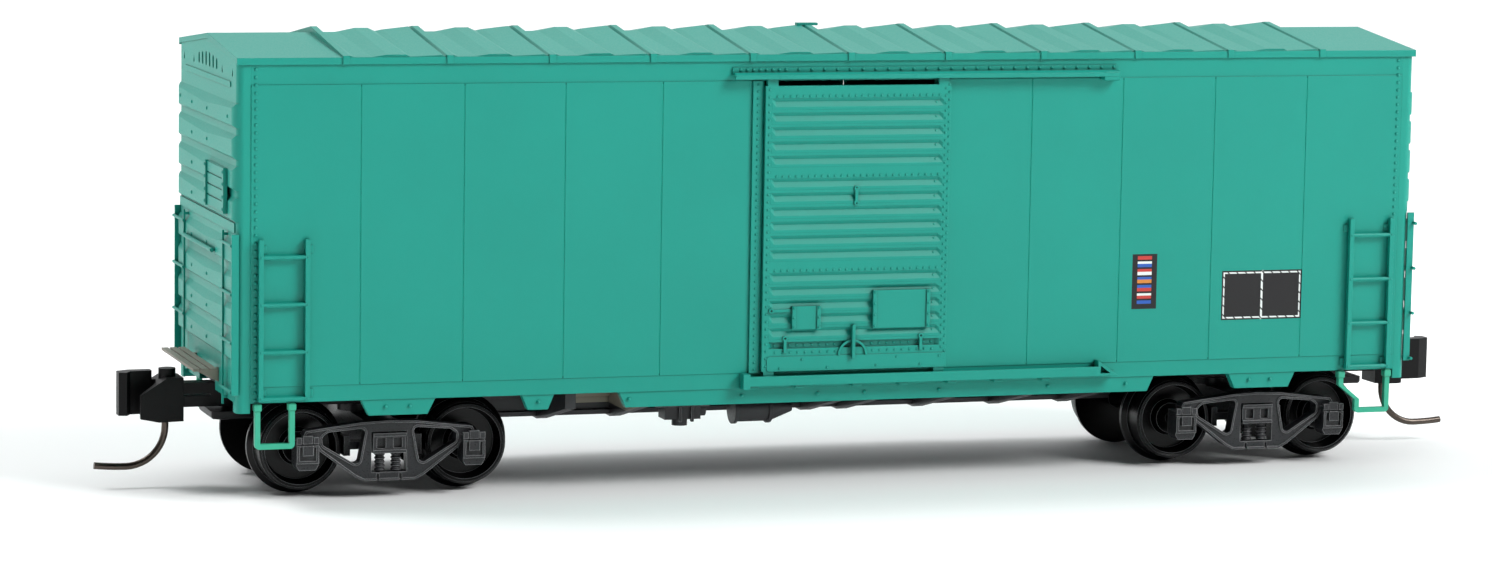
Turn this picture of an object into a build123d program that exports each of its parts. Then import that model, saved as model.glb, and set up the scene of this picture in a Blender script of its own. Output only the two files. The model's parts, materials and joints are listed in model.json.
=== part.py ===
from build123d import *
import os

# An N gauge (1:160) model of a 40 foot steel boxcar with sliding doors, in millimetres.
# X runs along the car, Y across it and Z up. End A is at -X, the near side at -Y.
# While it is drawn, Z zero is the top of the rail. save() lifts every piece by the flange
# depth, so that the finished car stands on Z zero with its wheel flanges.
# The far side is the near side turned half round, and end B is end A turned half round.

# body shell
body_length = 78.96
end_t = 0.85
side_y = 8.83
wall_t = 0.7
sill_z = 6.06
sill_h = 1.0
top_band_h = 1.23
sheet_proud = 0.05
seam_w = 0.05
# seams between the side sheets, as shares of the way from the car's middle to the end of the side
sheet_seams = (0.3215, 0.4851, 0.6529, 0.8222)
skirt_inset = 0.08
# skirt tabs below the sill; their ends are shares of the way from the car's middle to a truck's centre
skirt_tabs = [
    # left end, right end, slope of each end, depth
    (-1.0725, -0.9122, 0.5, 0.99),
    (-0.7234, -0.6525, 0.4, 0.95),
    (-0.5085, 0.7268, 0.45, 0.99),
    (0.9078, 1.0695, 0.47, 0.99),
]

# roof
eave_over = 0.14
eave_z = 27.3
fascia_h = 0.43
ridge_rise = 0.93
roof_over = 0.04
roof_rim_t = 0.33
rib_count = 11
rib_first = 6.77
rib_cap_w = 0.4
rib_rise = 0.37
rib_eave_rise = 0.1
rib_lug_proud = 0.07
panel_inset = 0.14
panel_foot = 0.25
# one roof panel from rib to rib: shares of the rib pitch and of the rib's rise, at ridge and eave.
# A drop from the rib, a raised band, a valley with a step, a slope up to the groove beside the next rib.
roof_panel = [
    # x_ridge, rise_ridge, x_eave, rise_eave
    (0.08, 0.03, 0.08, 0.05),
    (0.24, 0.03, 0.26, 0.05),
    (0.40, 0.70, 0.40, 1.30),
    (0.53, 0.70, 0.58, 1.30),
    (0.61, 0.08, 0.62, 0.10),
    (0.67, 0.40, 0.68, 0.20),
    (0.93, 0.90, 0.93, 0.80),
    (0.955, 0.35, 0.955, 0.10),
]
ridge_tab_l = 1.4
ridge_tab_w = 0.5
ridge_tab_t = 0.16

# ends
end_rib_proud = 0.22
corner_r = 0.45
corner_post_drop = 0.62
corner_post_w = 0.95
rib_corner_r = 0.75
coupler_notch_w = 4.9
coupler_notch_h = 0.74
ribs_per_group = 4
# pressed ribs of the upper and the lower end sheet
end_rib_groups = [
    # lower edge of the top rib, pitch
    (23.17, 1.923),
    (14.75, 1.983),
]
end_rib_h = 1.32
end_rib_under = 0.18
end_ramp_middle = 0.55
end_ramp_corner = 0.25
lap_z = 16.55
lap_h = 0.6
lap_proud = 0.08
bead_z = 25.55
bead_h = 0.36
bead_w = 14.0
bead_proud = 0.06
vent_count = 6
vent_pitch = 1.08
vent_w = 0.4
vent_h = 0.95
vent_step = 0.1
vent_z0 = 26.15
vent_depth = 0.16
pocket_ys = (-7.4, -4.35, 4.35, 7.4)
pocket_z = 26.2
pocket_r = 0.14
pocket_h = 0.4

# door opening and door post
opening_x0 = -5.75
opening_x1 = 5.95
post_gap = 0.15
post_w = 0.63
post_proud = 0.2

# doors
door_x0 = -5.78
door_lap = 0.72
door_gap = 0.1
door_t = 0.34
door_recess = 0.2
door_foot_gap = 0.1
door_head_gap = 0.3
door_travel = 10.3
door_edge_l = 0.42
door_edge_r = 0.46
door_edge_slope = 0.28
door_top_h = 0.8
rib_face = 0.2
# corrugations from the top, in groups parted by riveted strips
door_ribs = [
    # ribs, pitch, height of the strip under the group
    (5, 0.91, 0.54),
    (6, 0.91, 0.54),
    (5, 0.884, 0.0),
]
sump_h = 0.42
kick_plate_h = 0.95
kick_plate_proud = 0.05
kick_plate_inset = 0.33
hanger_w = 0.7
hanger_in = 0.12
foot_drop = 0.42
head_rise = 0.56
board_proud = 0.16
batten_w = 0.24
batten_proud = 0.08
# boards on the door that carry paper notices
door_boards = [
    # x0, x1, z0, z1
    (-3.85, -1.94, 9.85, 11.33),
    (1.59, 5.46, 9.80, 12.24),
]
# straps on the door, each with a round eye at its first end
door_straps = [
    # eye x, eye z, end x, end z
    (-4.25, 9.28, -4.25, 8.33),
    (4.93, 9.24, 4.93, 8.31),
    (0.38, 18.80, 0.38, 17.87),
    (0.38, 17.87, 0.38, 18.80),
    (-5.20, 11.05, -3.85, 11.05),
]
strap_w = 0.2
strap_proud = 0.1
eye_r = 0.17
eye_hole_r = 0.07
lever_x = 0.3
lever_z0 = 7.94
lever_z1 = 10.06
lever_proud = 0.3
arc_z = 8.1
arc_r = 1.0
arc_w = 0.15

# door tracks
track_out = 0.79
track_lip = 0.17
track_left = 0.82
track_spare = 0.21
lower_track_up = 0.22
lower_track_shelf = 0.24
lower_track_lip_h = 0.62
lower_block_w = 0.45
stop_h = 1.0
stop_l = 1.4
stop_bar = 0.17
upper_track_up = 0.14
upper_track_h = 0.4
upper_track_roof = 0.15
upper_strip_left = 2.1
upper_strip_right = 1.0
upper_strip_h = 0.3
upper_strip_proud = 0.12
bracket_xs = (-6.28, -3.23, 0.65, 3.80, 7.10, 10.30, 13.60)
bracket_w = 0.6
bracket_h = 0.2

# ladders, stirrups and end fittings
ladder_inset = 1.28
ladder_w = 3.2
stile_w = 0.3
stile_d = 0.36
stile_off = 0.1
stile_foot_h = 0.3
side_ladder_z0 = 6.2
side_ladder_z1 = 16.2
rung_r = 0.13
side_rungs = (6.35, 9.24, 12.17, 15.10)
end_ladder_out = 0.34
end_ladder_z0 = 5.7
end_ladder_z1 = 16.5
end_ladder_y_in = 6.1
end_stile_t = 0.16
end_plate_in = 0.11
end_plate_up = 0.9
end_rung_r = 0.1
rung_over = 0.4
end_rungs = (6.77, 9.80, 12.80, 15.80)
stirrup_in = 1.12
stirrup_w = 2.5
stirrup_z0 = 3.2
stirrup_t = 0.34
stirrup_r = 0.3
stirrup_knee_z = 4.12
stirrup_slant = 1.2
platform_z = 7.6
platform_t = 0.16
platform_len = 10.2
platform_gap = 0.42
platform_w = 1.5
slat_count = 3
slat_gap = 0.14
bracket_y = 3.4
bracket_t = 0.3
bracket_drop = 0.9
grab_z = 14.95
grab_y0 = -3.4
grab_y1 = 5.5
grab_out = 0.2
grab_foot_w = 0.2
tack_y0 = -7.0
tack_y1 = -1.2
tack_z0 = 17.6
tack_z1 = 20.4
tack_boards = 4
tack_t = 0.14
tack_gap = 0.1
tack_batten_w = 0.4
tack_batten_t = 0.26

# underframe
floor_z0 = 6.6
floor_t = 0.5
centre_sill_w = 3.0
centre_sill_z = 3.58
sill_step_in = 7.0
shallow_sill_up = 1.17
sill_flange_t = 0.3
sill_flange_w = 0.35
bolster_w = 2.2
bolster_half = 7.4
bolster_drop = 1.55
bolster_tip = 0.5
crossbearer_wheel_gap = 2.79
# crossbearers, as shares of the way from the car's middle to the outermost one
crossbearers = (-1, -0.728, -0.006, 0.133, 0.428, 0.728, 1)
crossbearer_w = 0.7
crossbearer_drop = 0.16
crossbearer_tip_z = 5.0
weight_gap = 2.6
weight_side_gap = 0.33
weight_t = 1.2

# trucks
truck_inset = 9.98
wheelbase = 10.62
flange_depth = 0.35
tread_r = 2.7
tread_drop = 0.1
back_half = 3.9
face_half = 5.95
flange_t = 0.5
rim_chamfer = 0.13
rim_w = 0.2
dish_d = 1.1
hub_r = 1.2
hub_d = 0.5
axle_r = 0.6
journal_r = 0.36
journal_end = 7.3
journal_gap = 0.09
frame_y_in = 6.6
frame_y_out = 7.4
frame_flange = 0.1
frame_flange_w = 0.13
window_r = 0.26
frame_top_z = 4.55
# half outline of the sideframe and of its window; x counts from the middle (0) or from the axle (1)
frame_outline = [
    # counted from, x, z
    (0, 1.8, 4.47), (1, 0.0, 4.02), (1, 0.15, 3.75), (1, 0.1, 3.45), (1, -0.6, 3.2), (1, -0.9, 2.72),
    (0, 2.2, 1.05), (0, 1.65, 0.77),
]
frame_window = [
    # counted from, x, z
    (0, 1.5, 4.1), (1, -1.4, 3.9), (1, -1.0, 3.6), (1, -1.05, 3.1), (0, 2.2, 1.85), (0, 1.9, 1.95),
]
journal_box_y = 7.9
journal_box_half = 0.7
journal_box_z0 = 1.62
journal_box_z1 = 3.5
journal_foot_half = 0.52
journal_foot_h = 0.3
lid_t = 0.16
lid_z0 = 2.07
lid_z1 = 3.2
lid_rim = 0.17
lid_tab_half = 0.34
lid_tab_z = 2.57
lid_tab_proud = 0.08
lug_gap = 0.1
# hinge lugs over a journal box lid
hinge_lugs = [
    # x0, x1, top
    (-0.70, -0.38, 3.7),
    (-0.31, 0.31, 3.8),
    (0.38, 0.70, 3.7),
]
spring_x = 0.52
spring_r = 0.35
spring_wire = 0.1
spring_turns = 5
spring_seat_z = 1.28
seat_slot_x = 0.72
seat_slot_w = 0.16
seat_slot_z = 1.18
bolster_gap = 0.08
bolster_pocket_w = 0.55
bolster_pocket_d = 0.3
bolster_lip = 0.12
bolster_lip_h = 0.2
truck_bolster_z0 = 2.5
truck_bolster_z1 = 4.7
truck_bolster_w = 2.1
bolster_end_z = 3.75
pin_r = 0.75
pin_gap = 0.08
pin_head_r = 1.4
pin_head_t = 0.4
centre_plate_r = 1.6
centre_plate_t = 0.5
centre_plate_gap = 0.06
shoe_gap = 0.12
shoe_edge = 0.24
shoe_w = 0.4
shoe_z0 = 2.1
shoe_z1 = 3.35
shoe_arm_t = 0.5

# couplers
draft_out = 0.46
draft_len = 5.54
draft_w = 4.1
draft_z0 = 3.78
draft_wall = 0.45
shank_z0 = 4.72
shank_z1 = 6.25
shank_w = 1.2
shank_slot = 0.12
pivot_in = 3.64
pivot_post_r = 0.5
pivot_gap = 0.08
pivot_eye_t = 0.4
mouth_gap = 0.12
head_out = 1.26
head_z0 = 3.9
head_z1 = 6.66
knuckle_z0 = 4.2
knuckle_z1 = 6.94
rivet_in = 0.85
rivet_r = 0.54
rivet_z1 = 7.17
# plan of the head and of the knuckle, and side view of the guard arm, as x past the head's back
head_plan = [(0.0, -1.1), (0.0, 1.0), (0.8, 1.35), (1.8, 1.35), (1.5, 0.3), (1.7, -0.6), (2.8, -1.25),
             (2.8, -1.6), (1.4, -1.35)]
knuckle_plan = [(1.7, 1.35), (3.1, 1.3), (3.9, 0.9), (3.9, 0.0), (3.4, -0.15), (3.1, 0.45), (1.7, 0.6)]
guard_side = [(0.0, head_z0), (0.0, head_z1), (1.1, head_z1), (2.8, 5.66), (2.8, 4.17), (1.6, head_z0)]
trip_r = 0.22
trip_in = 0.97
trip_low_z = 0.98
trip_bend_r = 2.5
trip_tip_l = 2.0
trip_tip_lift = 0.12

# brake gear
brake_wheel_r = 1.6
brake_wheel_wire = 0.26
brake_wheel_y = -4.3
brake_wheel_z = 19.3
brake_wheel_out = 0.75
spoke_w = 0.16
spoke_count = 3
housing_w = 1.6
housing_z0 = 18.0
housing_z1 = 20.2
housing_t = 0.45
valve_x = -9.8
valve_y = -4.9
valve_l = 2.4
valve_w = 1.4
valve_z0 = 3.7
valve_z1 = 4.9
valve_cap_r = 0.5
valve_cap_l = 0.45
cylinder_x0 = -6.35
cylinder_x1 = -3.8
cylinder_y = -5.0
cylinder_z = 4.2
cylinder_r = 0.85
cylinder_lip = 0.12
cone_l = 1.5
tank_x0 = -9.5
tank_x1 = -3.9
tank_y = 4.4
tank_z = 4.5
tank_r = 1.15
hanger_t = 0.6

end_x = body_length / 2
side_half = end_x - end_t
roof_half = end_x + roof_over
rib_pitch = 2 * (roof_half - rib_first) / (rib_count - 1)
inner_y = side_y - wall_t
sheet_y = side_y + sheet_proud
eave_y = side_y + eave_over
side_top = eave_z - fascia_h
ridge_z = eave_z + ridge_rise
rim_z = eave_z - roof_rim_t
opening_z0 = sill_z + sill_h
opening_z1 = side_top - top_band_h
post_x1 = opening_x0 - post_gap
post_x0 = post_x1 - post_w
door_x1 = opening_x1 + door_lap
door_z0 = opening_z0 + door_foot_gap
door_z1 = opening_z1 - door_head_gap
door_back = sheet_y + door_gap
door_front = door_back + door_t
track_y = side_y + track_out
track_x0 = door_x0 - track_left
track_x1 = door_x1 + door_travel + track_spare
lower_track_z0 = sill_z + lower_track_up
upper_track_z0 = opening_z1 + upper_track_up
ladder_out = end_x - ladder_inset
ladder_in = ladder_out - ladder_w
rib_face_x = end_x + end_rib_proud
end_ladder_x = end_x + end_ladder_out
platform_x0 = end_x + platform_gap
platform_x1 = platform_x0 + platform_w
floor_z1 = floor_z0 + floor_t
truck_x = end_x - truck_inset
axle_z = tread_r
flange_r = tread_r + flange_depth
deep_sill_half = truck_x - sill_step_in
crossbearer_out = truck_x - wheelbase / 2 - flange_r - crossbearer_wheel_gap - crossbearer_w / 2
draft_x1 = end_x + draft_out
draft_x0 = draft_x1 - draft_len
pivot_x = draft_x1 - pivot_in
head_x = draft_x1 + head_out


def block(x0, x1, y0, y1, z0, z1):
    """A box between two corners."""
    return Pos((x0 + x1) / 2, (y0 + y1) / 2, (z0 + z1) / 2) * Box(x1 - x0, y1 - y0, z1 - z0)


def prism_x(points, x0, x1):
    """A (y, z) outline carried along X."""
    face = Plane(origin=(x0, 0, 0), x_dir=(0, 1, 0), z_dir=(1, 0, 0)) * make_face(Polyline(*points, close=True))
    return extrude(face, x1 - x0)


def at_y(points, y):
    """A flat (x, z) outline standing across Y at y."""
    return Plane(origin=(0, y, 0), x_dir=(1, 0, 0), z_dir=(0, -1, 0)) * make_face(Polyline(*points, close=True))


def carried_y(face, y0, y1):
    """A flat (x, z) face carried along Y."""
    return extrude(Plane(origin=(0, y1, 0), x_dir=(1, 0, 0), z_dir=(0, -1, 0)) * face, y1 - y0)


def prism_y(points, y0, y1):
    """An (x, z) outline carried along Y."""
    return extrude(at_y(points, y1), y1 - y0)


def prism_z(points, z0, z1):
    """An (x, y) outline carried along Z."""
    return extrude(Pos(0, 0, z0) * make_face(Polyline(*points, close=True)), z1 - z0)


def rod_x(x0, x1, y, z, r):
    return Pos((x0 + x1) / 2, y, z) * Rot(0, 90, 0) * Cylinder(r, x1 - x0)


def rod_y(y0, y1, x, z, r):
    return Pos(x, (y0 + y1) / 2, z) * Rot(90, 0, 0) * Cylinder(r, y1 - y0)


def rod_z(z0, z1, x, y, r):
    return Pos(x, y, (z0 + z1) / 2) * Cylinder(r, z1 - z0)


def turned(shape):
    """The same piece at the other end of the car, half a turn about Z."""
    return Rot(0, 0, 180) * shape


def both_y(shape):
    """A piece together with its mirror image on the other side of the car's middle."""
    return shape + mirror(shape, about=Plane.XZ)


def side_wall():
    """The near side: wall, raised sheets with their seams, skirt tabs, post and door opening."""
    wall = block(-side_half, side_half, -side_y, -inner_y, sill_z, side_top)
    seams = [share * side_half for share in sheet_seams]
    left = [-side_half] + [-x for x in reversed(seams)] + [post_x0]
    right = [opening_x1] + seams + [side_half]
    for edges in (left, right):
        for x0, x1 in zip(edges, edges[1:]):
            wall += block(x0 + seam_w / 2, x1 - seam_w / 2, -sheet_y, -side_y, opening_z0, opening_z1)
    for left, right, slope, depth in skirt_tabs:
        x0 = left * truck_x
        x1 = right * truck_x
        outline = [(x0, sill_z), (x1, sill_z), (x1 - slope, sill_z - depth), (x0 + slope, sill_z - depth)]
        wall += prism_y(outline, -side_y + skirt_inset, -inner_y)
    wall += block(post_x0, post_x1, -side_y - post_proud, -side_y, opening_z0, opening_z1)
    return wall - block(opening_x0, opening_x1, -side_y - wall_t, -inner_y + wall_t, opening_z0, opening_z1)


def roof_section(points, y, base_z):
    """One (x, z) outline of a roof panel at y, its foot sunk into the sheet."""
    half = rib_cap_w / 2
    top = [(half, points[0][1])] + points[1:-1] + [(rib_pitch - half, points[-1][1])]
    outline = [(half, -panel_foot)] + top + [(rib_pitch - half, -panel_foot)]
    return at_y([(x, base_z + z) for x, z in outline], y)


def roof_panels():
    """The raised form between two ribs, on both slopes of the roof."""
    ridge = [(0, rib_rise)] + [(x * rib_pitch, h * rib_rise) for x, h, _, _ in roof_panel] + [(rib_pitch, rib_rise)]
    eave = [(0, rib_eave_rise)] + [(x * rib_pitch, h * rib_eave_rise) for _, _, x, h in roof_panel]
    eave += [(rib_pitch, rib_eave_rise)]
    low_z = eave_z + ridge_rise * panel_inset / eave_y
    slope = loft([roof_section(ridge, 0, ridge_z), roof_section(eave, panel_inset - eave_y, low_z)], ruled=True)
    return both_y(slope)


def roof():
    """The roof sheet with its fascia, rim over the ends, ribs and raised panels."""
    gable = [(-eave_y, side_top), (-eave_y, eave_z), (0, ridge_z), (eave_y, eave_z), (eave_y, side_top)]
    shell = prism_x(gable, -roof_half, roof_half)
    inside = [(-inner_y, side_top), (0, ridge_z - fascia_h), (inner_y, side_top)]
    shell -= prism_x(inside, -side_half, side_half)
    rim = [(-side_y, side_top), (-side_y, rim_z), (0, ridge_z - roof_rim_t), (side_y, rim_z), (side_y, side_top)]
    for x0 in (-roof_half, side_half):
        shell -= prism_x(rim, x0, x0 + roof_half - side_half)
    lug_y = eave_y + rib_lug_proud
    rib = [(-eave_y, side_top), (-lug_y, side_top), (-lug_y, eave_z + rib_eave_rise), (0, ridge_z + rib_rise),
           (lug_y, eave_z + rib_eave_rise), (lug_y, side_top), (eave_y, side_top), (eave_y, eave_z), (0, ridge_z),
           (-eave_y, eave_z)]
    first = -(rib_count - 1) / 2 * rib_pitch
    ribs = [prism_x(rib, first + i * rib_pitch - rib_cap_w / 2, first + i * rib_pitch + rib_cap_w / 2)
            for i in range(rib_count)]
    panel = roof_panels()
    panels = [Pos(first + i * rib_pitch, 0, 0) * panel for i in range(rib_count - 1)]
    crest = ridge_z + rib_rise
    tab = block(-ridge_tab_l / 2, ridge_tab_l / 2, -ridge_tab_w / 2, ridge_tab_w / 2, crest - ridge_tab_t / 2,
                crest + ridge_tab_t / 2)
    return shell + ribs + panels + tab


def end_rib(edge):
    """One pressed rib of end A: flat face, short undercut, upper ramp that deepens towards the middle."""
    sections = []
    for y, ramp in ((0, end_ramp_middle), (-side_y, end_ramp_corner)):
        sections.append(at_y([(-side_half, edge - end_rib_under), (-end_x, edge - end_rib_under), (-rib_face_x, edge),
                              (-rib_face_x, edge + end_rib_h - ramp), (-end_x, edge + end_rib_h),
                              (-side_half, edge + end_rib_h)], y))
    return both_y(loft(sections, ruled=True))


def corner_post():
    """The rounded corner of end A on the near side, reaching below the sill."""
    low = sill_z - corner_post_drop
    bead_y = side_y - corner_r
    bead_x = end_x - corner_r
    post = rod_z(low, rim_z, -bead_x, -bead_y, corner_r)
    post += block(-end_x, -side_half, -bead_y, -side_y + corner_post_w, low, rim_z)
    post += block(-bead_x, -side_half, -side_y, -bead_y, low, rim_z)
    return post - block(-side_half, 0, -side_y, 0, low, rim_z)


def end_wall():
    """End A: sheet with rounded corner posts, pressed ribs, lap joint, bead, vents and coupler notch."""
    flat_y = side_y - corner_r
    shoulder = rim_z + ridge_rise * corner_r / side_y
    gable = [(-flat_y, sill_z), (-flat_y, shoulder), (0, ridge_z - roof_rim_t), (flat_y, shoulder), (flat_y, sill_z)]
    sheet = prism_x(gable, -end_x, -side_half) + both_y(corner_post())
    sheet -= block(-end_x, -side_half, -coupler_notch_w / 2, coupler_notch_w / 2, sill_z, sill_z + coupler_notch_h)
    plan = make_face(Polyline((-rib_face_x, -side_y), (-side_half, -side_y), (-side_half, side_y),
                              (-rib_face_x, side_y), close=True))
    mould = extrude(fillet([v for v in plan.vertices() if v.X < -end_x], rib_corner_r), eave_z)
    for top, pitch in end_rib_groups:
        for i in range(ribs_per_group):
            sheet += end_rib(top - i * pitch) & mould
    sheet += block(-end_x - lap_proud, -end_x, -flat_y, flat_y, lap_z, lap_z + lap_h)
    face = Plane(origin=(-end_x, 0, 0), x_dir=(0, -1, 0), z_dir=(-1, 0, 0))
    sheet += extrude(face * Pos(0, bead_z) * SlotOverall(bead_w, bead_h), bead_proud)
    for i in range(vent_count):
        k = i - (vent_count - 1) / 2
        height = vent_h - vent_step * abs(k)
        vent = face * Pos(k * vent_pitch, vent_z0 + height / 2) * Rot(0, 0, 90) * SlotOverall(height, vent_w)
        sheet -= extrude(vent, -vent_depth)
    for y in pocket_ys:
        sheet -= rod_x(-end_x, -end_x + vent_depth, y, pocket_z, pocket_r)
        tip = [(y - pocket_r, pocket_z), (y + pocket_r, pocket_z), (y, pocket_z + pocket_h)]
        sheet -= prism_x(tip, -end_x, -end_x + vent_depth)
    return sheet


def strap(x0, z0, x1, z1, y0, y1):
    """A flat strap with a pierced round eye at its first end."""
    half = strap_w / 2
    if x0 == x1:
        bar = block(x0 - half, x0 + half, y0, y1, min(z0, z1), max(z0, z1))
    else:
        bar = block(min(x0, x1), max(x0, x1), y0, y1, z0 - half, z0 + half)
    return bar + rod_y(y0, y1, x0, z0, eye_r) - rod_y(y0, y0 + strap_proud, x0, z0, eye_hole_r)


def door():
    """The near door: corrugated sheet in its rim, kick plate, boards, straps, lever and hangers."""
    front = -door_front
    bed = front + door_recess
    panel = block(door_x0, door_x1, front, -door_back, door_z0, door_z1)
    field_x0 = door_x0 + door_edge_l
    field_x1 = door_x1 - door_edge_r
    edge = door_z1 - door_top_h
    corrugations = []
    for ribs, pitch, strip in door_ribs:
        for i in range(ribs):
            under = strip if i == ribs - 1 else 0
            top = edge
            edge = top - pitch - under
            section = [(bed, top), (front, edge + under + rib_face), (front, edge), (bed, edge)]
            corrugations.append(prism_x(section, field_x0, field_x1))
    field = [(field_x0, front - door_t), (field_x1, front - door_t), (field_x1, front),
             (field_x1 - door_edge_slope, bed), (field_x0 + door_edge_slope, bed), (field_x0, front)]
    panel -= prism_z(field, edge - sump_h, door_z1 - door_top_h)
    panel += corrugations
    kick_top = door_z0 + kick_plate_h
    kick = block(door_x0 + kick_plate_inset, door_x1, front - kick_plate_proud, front, door_z0, kick_top)
    panel += fillet([e for e in kick.edges().filter_by(Axis.Y) if e.center().X < 0], kick_plate_inset / 2)
    for x0, x1, z0, z1 in door_boards:
        panel += block(x0, x1, front - board_proud, bed, z0, z1)
        for x in (x0, x1 - batten_w):
            panel += block(x, x + batten_w, front - board_proud - batten_proud, front, z0, z1)
    for x0, z0, x1, z1 in door_straps:
        panel += strap(x0, z0, x1, z1, front - strap_proud, bed)
    ring = rod_y(front - strap_proud, bed, lever_x, arc_z, arc_r)
    ring -= rod_y(front - door_t, bed + door_t, lever_x, arc_z, arc_r - arc_w)
    panel += ring - block(lever_x - arc_r, lever_x + arc_r, front - door_t, bed + door_t, arc_z - arc_r, kick_top)
    half = strap_w / 2
    panel += block(lever_x - half, lever_x + half, front - lever_proud, front, lever_z0, lever_z1)
    for x0 in (door_x0 + hanger_in, door_x1 - hanger_in - hanger_w):
        x1 = x0 + hanger_w
        panel += block(x0, x1, front, -door_back, door_z0 - foot_drop, door_z0)
        panel += block(x0, x1, front, -door_back, door_z1, door_z1 + head_rise)
    return panel


def door_tracks():
    """The lower channel and the upper hooded rail of the near door, with brackets and stops."""
    lip_y = -track_y + track_lip
    z0 = lower_track_z0
    shelf = z0 + lower_track_shelf
    channel = [(-side_y, z0), (-side_y, shelf), (lip_y, shelf), (lip_y, z0 + lower_track_lip_h),
               (-track_y, z0 + lower_track_lip_h), (-track_y, z0)]
    lower = prism_x(channel, track_x0, track_x1)
    lower += block(track_x0 - lower_block_w, track_x0, -track_y, -side_y, z0 - bracket_h, opening_z0)
    wedge = make_face(Polyline((track_x1, z0), (track_x1, z0 + stop_h), (track_x1 + stop_l, z0), close=True))
    lower += carried_y(rim_of(wedge, stop_bar), -track_y, -sheet_y)
    lower += block(track_x1, track_x1 + stop_l, -sheet_y, -side_y, z0, shelf)
    for x in bracket_xs:
        lower += block(x - bracket_w / 2, x + bracket_w / 2, lip_y, -side_y, z0 - bracket_h, z0)
    low = upper_track_z0
    top = low + upper_track_h
    under = top - upper_track_roof
    strip_y = -side_y - upper_strip_proud
    hood = [(-side_y, under), (lip_y, under), (lip_y, low), (-track_y, low), (-track_y, under), (lip_y, top),
            (strip_y, top), (strip_y, top + upper_strip_h), (-side_y, top + upper_strip_h)]
    x1 = track_x1 + upper_strip_right
    upper = prism_x(hood, door_x0 - upper_strip_left, x1)
    upper += block(track_x1 + track_spare, x1, -track_y, -side_y, low, under)
    return lower + upper


def side_ladder():
    """The ladder of the near side at end A: two stiles, four rungs and their feet."""
    y0 = -sheet_y - stile_off - stile_d
    y1 = -sheet_y - stile_off
    ladder = None
    for x in (-ladder_out, -ladder_in - stile_w):
        stile = block(x, x + stile_w, y0, y1, side_ladder_z0, side_ladder_z1)
        stile += block(x, x + stile_w, y1, -sheet_y, side_ladder_z1 - 2 * stile_foot_h, side_ladder_z1 - stile_foot_h)
        stile += block(x, x + stile_w, y1, -side_y, side_ladder_z0, side_ladder_z0 + stile_foot_h)
        ladder = stile if ladder is None else ladder + stile
    for z in side_rungs:
        ladder += rod_x(-ladder_out + stile_w / 2, -ladder_in - stile_w / 2, y0 + rung_r, z, rung_r)
    return ladder


def end_ladder(over_in, over_out):
    """The ladder on end A beside the near corner; its rungs pass the inner and outer stile by these."""
    x0 = -end_ladder_x
    t = end_stile_t
    y_in = -end_ladder_y_in
    ladder = block(x0, -rib_face_x, y_in, y_in + t, end_ladder_z0, end_ladder_z1)
    for z in (end_ladder_z1 - t, sill_z + t):
        ladder += block(-rib_face_x, -end_x, y_in, y_in + t, z - t, z)
    ladder += block(x0, -end_x + end_plate_in, -side_y - t / 2, -side_y + t / 2, end_ladder_z0 + end_plate_up,
                    end_ladder_z1)
    for z in end_rungs:
        ladder += rod_y(-side_y - over_out, y_in + t + over_in, -rib_face_x - end_rung_r, z, end_rung_r)
    return ladder


def stirrup(slant):
    """The step under the near side at end A: a flat bar bent to a U, its inner leg cranked by slant."""
    x0 = -end_x + stirrup_in
    x1 = x0 + stirrup_w
    z1 = (stirrup_knee_z + sill_z) / 2
    t = stirrup_t
    outline = [(x0, sill_z), (x0, stirrup_z0), (x1, stirrup_z0), (x1, stirrup_knee_z), (x1 + slant, z1),
               (x1 + slant, sill_z), (x1 + slant - t, sill_z), (x1 + slant - t, z1), (x1 - t, stirrup_knee_z),
               (x1 - t, stirrup_z0 + t), (x0 + t, stirrup_z0 + t), (x0 + t, sill_z)]
    bar = prism_y(outline, -side_y - t / 2, -side_y + t / 2)
    return fillet([e for e in bar.edges().filter_by(Axis.Y) if e.center().Z < stirrup_z0 + t / 2], stirrup_r)


def platform():
    """The slatted crossover platform over the coupler of end A, on two brackets."""
    half = platform_len / 2
    slat_w = (platform_w - (slat_count - 1) * slat_gap) / slat_count
    deck = None
    for i in range(slat_count):
        x0 = -platform_x1 + i * (slat_w + slat_gap)
        slat = block(x0, x0 + slat_w, -half, half, platform_z, platform_z + platform_t)
        deck = slat if deck is None else deck + slat
    for y in (-bracket_y, bracket_y):
        bracket = [(-platform_x1 + slat_gap, platform_z), (-end_x, platform_z), (-end_x, platform_z - bracket_drop)]
        deck += prism_y(bracket, y - bracket_t / 2, y + bracket_t / 2)
    return deck


def end_grab():
    """The long grab iron across end A, on two feet that meet the rib behind it."""
    x = -rib_face_x - grab_out
    half = grab_foot_w / 2
    bar = rod_y(grab_y0, grab_y1, x, grab_z, rung_r)
    for y in (grab_y0 + grab_foot_w, grab_y1 - grab_foot_w):
        bar += block(x, -rib_face_x, y - half, y + half, grab_z - half, grab_z + half)
    return bar


def tack_board():
    """The boarded panel on end A: boards between two battens."""
    x = -rib_face_x
    step = (tack_z1 - tack_z0) / tack_boards
    panel = block(x - tack_t / 2, x, tack_y0, tack_y1, tack_z0, tack_z1)
    for i in range(tack_boards):
        z = tack_z0 + i * step
        panel += block(x - tack_t, x - tack_t / 2, tack_y0, tack_y1, z + tack_gap / 2, z + step - tack_gap / 2)
    for y in (tack_y0, tack_y1 - tack_batten_w):
        panel += block(x - tack_batten_t, x, y, y + tack_batten_w, tack_z0, tack_z1)
    return panel


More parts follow.
